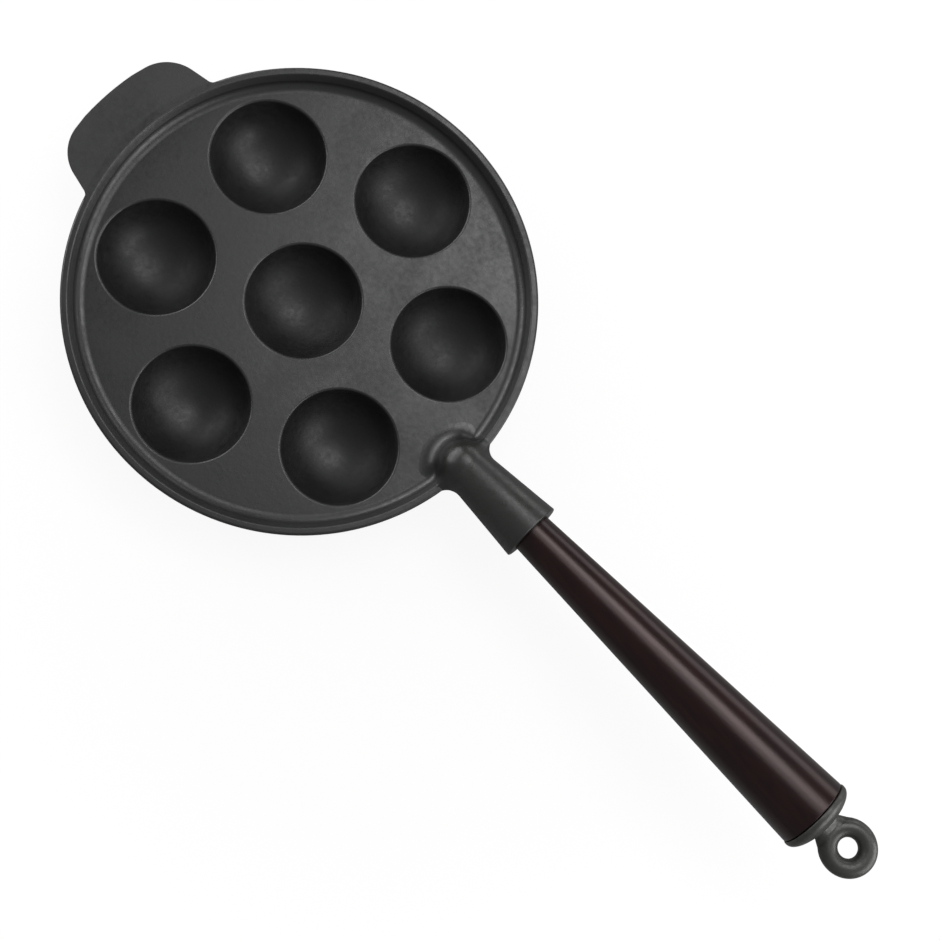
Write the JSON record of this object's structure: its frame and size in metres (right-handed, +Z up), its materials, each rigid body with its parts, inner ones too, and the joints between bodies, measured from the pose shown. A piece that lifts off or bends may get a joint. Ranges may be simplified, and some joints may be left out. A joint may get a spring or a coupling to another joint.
{
  "type": "aebleskiver pan",
  "caption": "Round cast iron pan with hemispherical wells in a raised rim, a helper tab, and a turned wooden handle held in a cast socket by a hanging eye.",
  "frame": {"origin": "centre of the standing flat under the middle cup, on the surface that the pan stands on", "axes": "+X from the pan's centre along the handle, +Z up out of the wells, +Y to the left of the handle seen from the pan"},
  "size_m": [0.4443, 0.2008, 0.0797],
  "materials": {
    "pan_iron": "seasoned, dark grey, satin",
    "handle_wood": "dark red-brown lacquer",
    "rod_steel": "plain, bright",
    "eye_iron": "bare grey casting"
  },
  "bodies": {
    "pan": {"pan_casting": "pan_iron"},
    "handle": {"wooden_handle": "handle_wood"},
    "eye_bolt": {"hanging_eye": "eye_iron", "tie_rod": "rod_steel"}
  },
  "joints": [
    {"name": "handle_draw", "type": "slide", "parent": "pan", "child": "handle", "axis": [0.9877, 0, 0.1564], "range_m": [0, 0.01524]},
    {"name": "eye_turn", "type": "hinge", "parent": "handle", "child": "eye_bolt", "pos_m": [0.1004, 0, 0.0325], "axis": [0.9877, 0, 0.1564], "range_deg": [0, 4321]}
  ],
  "couplings": [
    {"joint": "eye_turn", "follows": "handle_draw", "rad_per_m": 4947.4}
  ]
}
